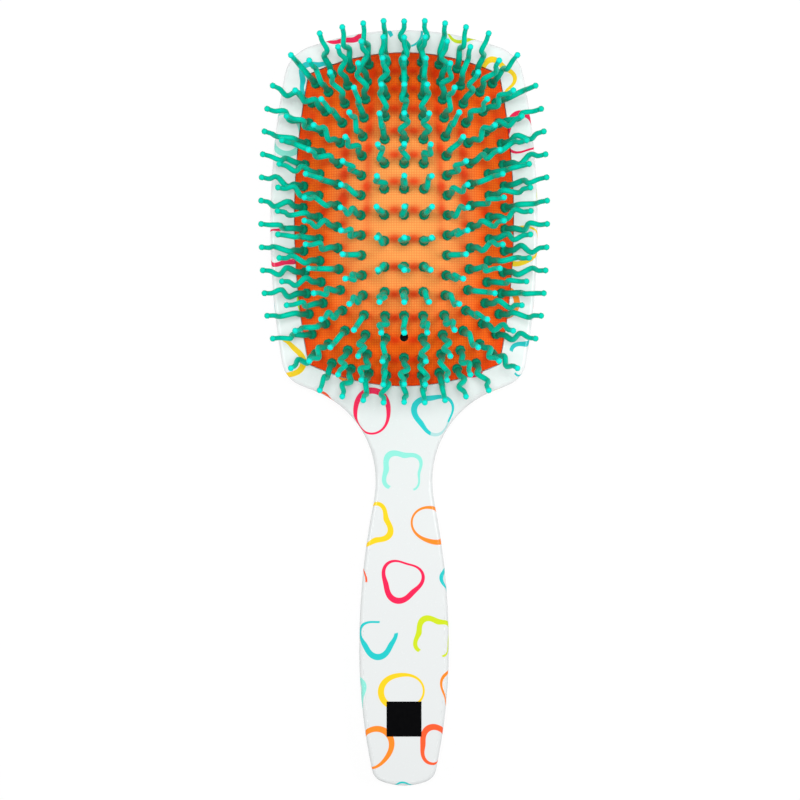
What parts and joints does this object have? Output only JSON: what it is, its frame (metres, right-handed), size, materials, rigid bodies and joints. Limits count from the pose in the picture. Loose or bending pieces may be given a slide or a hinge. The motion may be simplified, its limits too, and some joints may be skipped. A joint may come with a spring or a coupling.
{
  "type": "paddle hair brush",
  "caption": "Paddle hair brush with a domed rubber air cushion, wavy ball-tipped pins and a flat handle.",
  "frame": {"origin": "on the flat back of the body, straight under the middle of the cushion", "axes": "+Z out of the cushion along the pins, +Y towards the head's far end (the handle runs to -Y), +X across"},
  "size_m": [0.091, 0.2451, 0.0472],
  "materials": {
    "body_plastic": "white gloss injection-moulded plastic",
    "printed_plastic": "white gloss plastic with coloured printed line motifs",
    "frame_plastic": "plain white moulded plastic, out of sight",
    "cushion_rubber": "orange rubber with a fine woven grain",
    "badge_plastic": "black satin plate, blank",
    "pin_nylon": "teal nylon, slightly glossy"
  },
  "bodies": {
    "paddle": {"back_shell": "body_plastic", "front_shell": "printed_plastic", "cushion_frame": "frame_plastic", "cushion": "cushion_rubber", "handle_badge": "badge_plastic"},
    "crown_pins": {"pins_crown_bottom": "pin_nylon", "pins_crown_left": "pin_nylon", "pins_crown_right": "pin_nylon", "pins_crown_top": "pin_nylon"},
    "inner_pins": {"pins_inner_bottom": "pin_nylon", "pins_inner_left": "pin_nylon", "pins_inner_right": "pin_nylon", "pins_inner_top": "pin_nylon"},
    "middle_pins": {"pins_middle_bottom": "pin_nylon", "pins_middle_left": "pin_nylon", "pins_middle_right": "pin_nylon", "pins_middle_top": "pin_nylon"},
    "outer_pins": {"pins_outer_bottom": "pin_nylon", "pins_outer_left": "pin_nylon", "pins_outer_right": "pin_nylon", "pins_outer_top": "pin_nylon"},
    "edge_pins": {"pins_edge_bottom": "pin_nylon", "pins_edge_left": "pin_nylon", "pins_edge_right": "pin_nylon", "pins_edge_top": "pin_nylon"},
    "border_pins": {"pins_border_bottom": "pin_nylon", "pins_border_left": "pin_nylon", "pins_border_right": "pin_nylon", "pins_border_top": "pin_nylon"}
  },
  "joints": [
    {"name": "crown_press", "type": "slide", "parent": "paddle", "child": "crown_pins", "axis": [0, 0, -1], "range_m": [0, 0.0046], "stiffness_N_per_m": 600, "springref_m": -0.001, "deforming": ["cushion"]},
    {"name": "inner_press", "type": "slide", "parent": "paddle", "child": "inner_pins", "axis": [0, 0, -1], "range_m": [0, 0.00369], "stiffness_N_per_m": 150, "springref_m": -0.001},
    {"name": "middle_press", "type": "slide", "parent": "paddle", "child": "middle_pins", "axis": [0, 0, -1], "range_m": [0, 0.00308], "stiffness_N_per_m": 150, "springref_m": -0.001},
    {"name": "outer_press", "type": "slide", "parent": "paddle", "child": "outer_pins", "axis": [0, 0, -1], "range_m": [0, 0.00218], "stiffness_N_per_m": 150, "springref_m": -0.001},
    {"name": "edge_press", "type": "slide", "parent": "paddle", "child": "edge_pins", "axis": [0, 0, -1], "range_m": [0, 0.0014], "stiffness_N_per_m": 150, "springref_m": -0.001},
    {"name": "border_press", "type": "slide", "parent": "paddle", "child": "border_pins", "axis": [0, 0, -1], "range_m": [0, 0.000712], "stiffness_N_per_m": 150, "springref_m": -0.001}
  ],
  "couplings": [
    {"joint": "inner_press", "follows": "crown_press", "ratio": 0.79948},
    {"joint": "middle_press", "follows": "crown_press", "ratio": 0.66623},
    {"joint": "outer_press", "follows": "crown_press", "ratio": 0.47223},
    {"joint": "edge_press", "follows": "crown_press", "ratio": 0.30171},
    {"joint": "border_press", "follows": "crown_press", "ratio": 0.15259}
  ]
}
